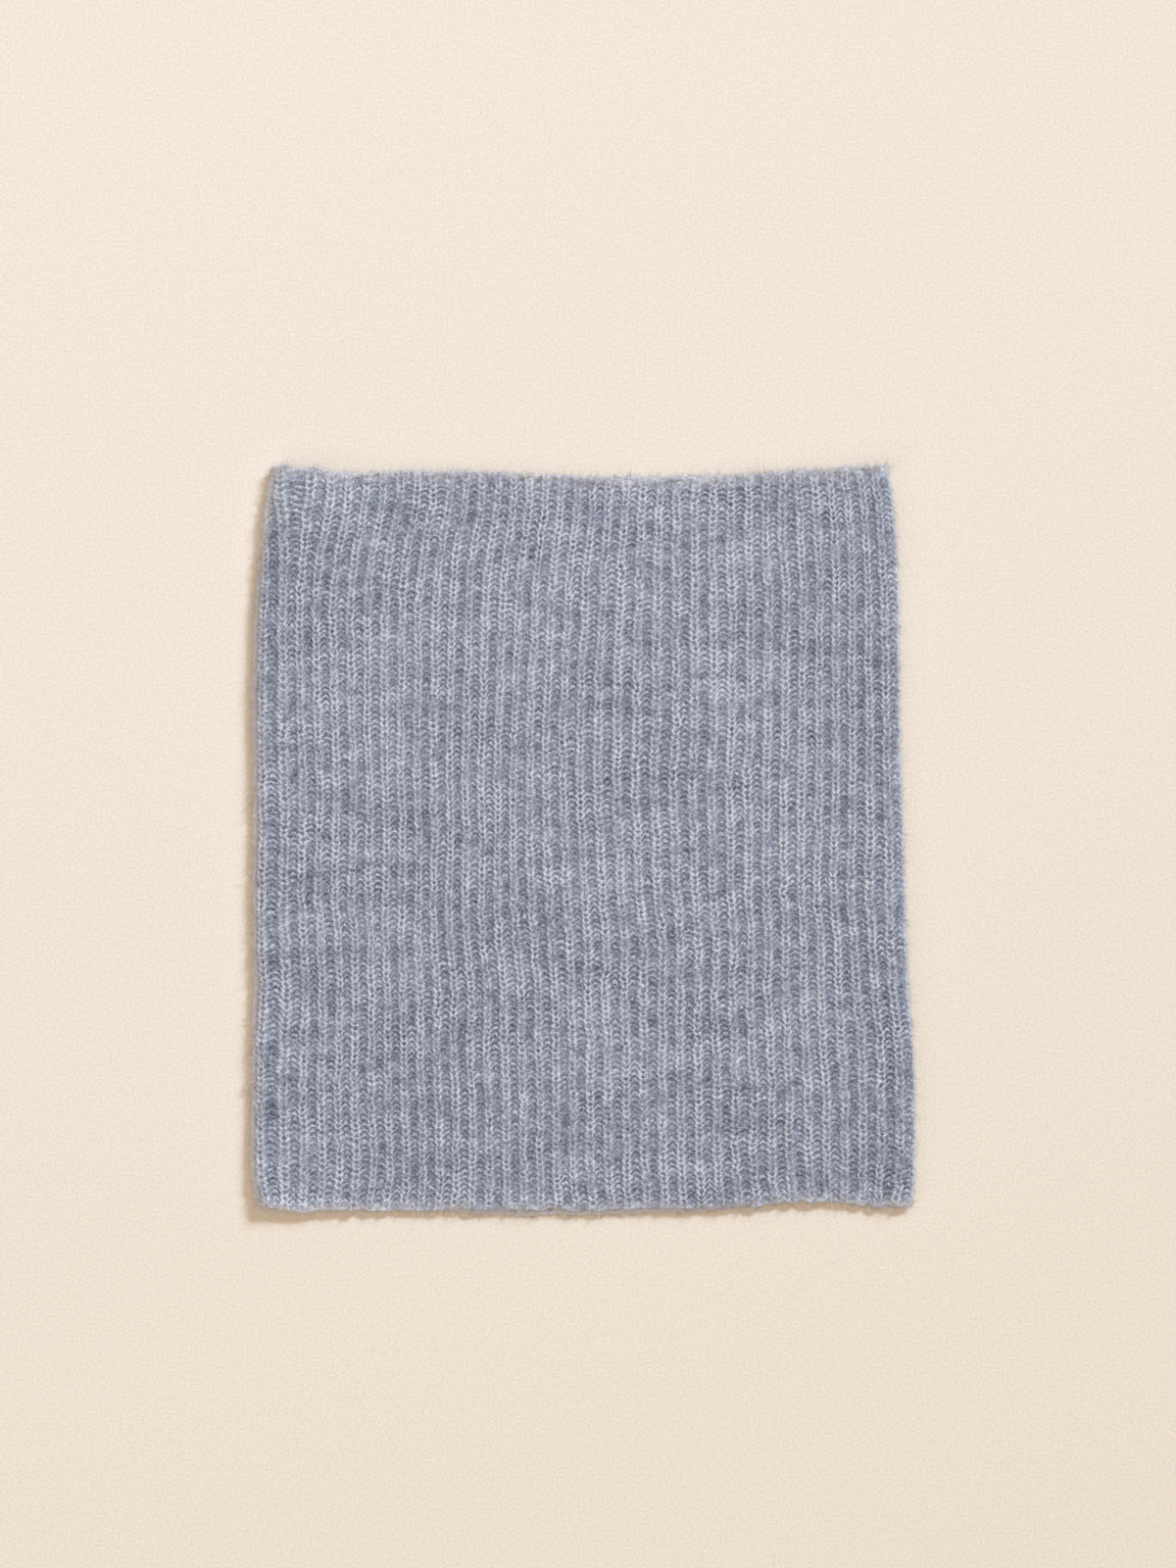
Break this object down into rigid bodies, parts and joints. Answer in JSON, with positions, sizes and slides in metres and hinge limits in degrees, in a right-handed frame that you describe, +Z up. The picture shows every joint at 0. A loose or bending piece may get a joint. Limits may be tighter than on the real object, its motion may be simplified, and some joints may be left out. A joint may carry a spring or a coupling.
{
  "type": "snood",
  "caption": "Ribbed knitted snood, a soft tube open at both ends, lying flat with its two layers a few millimetres apart.",
  "frame": {"origin": "centre of the flat tube's bounding box, on the surface that it lies on", "axes": "+X across the flat tube from fold to fold, +Y along the tube's height towards its upper open edge, +Z up from the surface"},
  "size_m": [0.2706, 0.3062, 0.0092],
  "materials": {
    "wool_rib": "soft brushed heathered blue-grey wool, 1x1 rib"
  },
  "bodies": {
    "root": {"ribbed_tube": "wool_rib"}
  },
  "joints": []
}
